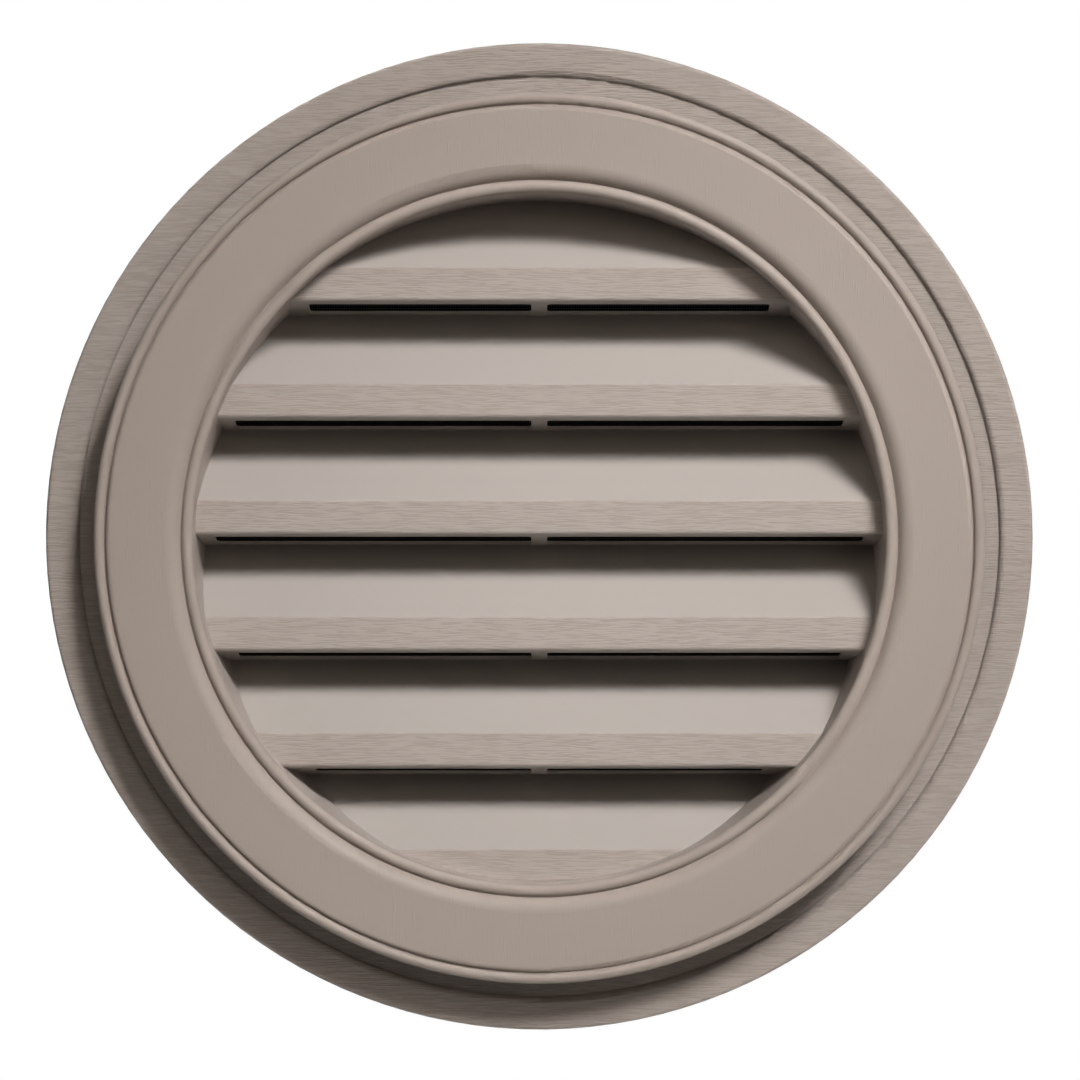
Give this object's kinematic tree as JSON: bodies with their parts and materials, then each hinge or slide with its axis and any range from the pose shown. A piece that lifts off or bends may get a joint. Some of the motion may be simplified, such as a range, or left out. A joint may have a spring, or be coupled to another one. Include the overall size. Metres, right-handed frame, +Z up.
{
  "type": "round gable vent",
  "caption": "Round gable vent: a flanged base with fixed slotted louvres, a moulded trim ring that clips on and an insect screen.",
  "frame": {"origin": "centre of the vent on the wall plane, which is the back of the flange", "axes": "+Y into the wall along the collar, +Z up, front faces -Y"},
  "size_m": [0.5587, 0.0709, 0.5588],
  "materials": {
    "moulded_base": "moulded polypropylene with a wood grain texture",
    "moulded_ring": "moulded polypropylene, satin",
    "screen_mesh": "coated glass fibre mesh"
  },
  "bodies": {
    "root": {"wall_flange": "moulded_base", "vent_collar": "moulded_base", "louvre_sheet": "moulded_base", "trim_ring": "moulded_ring", "insect_screen": "screen_mesh"}
  },
  "joints": []
}
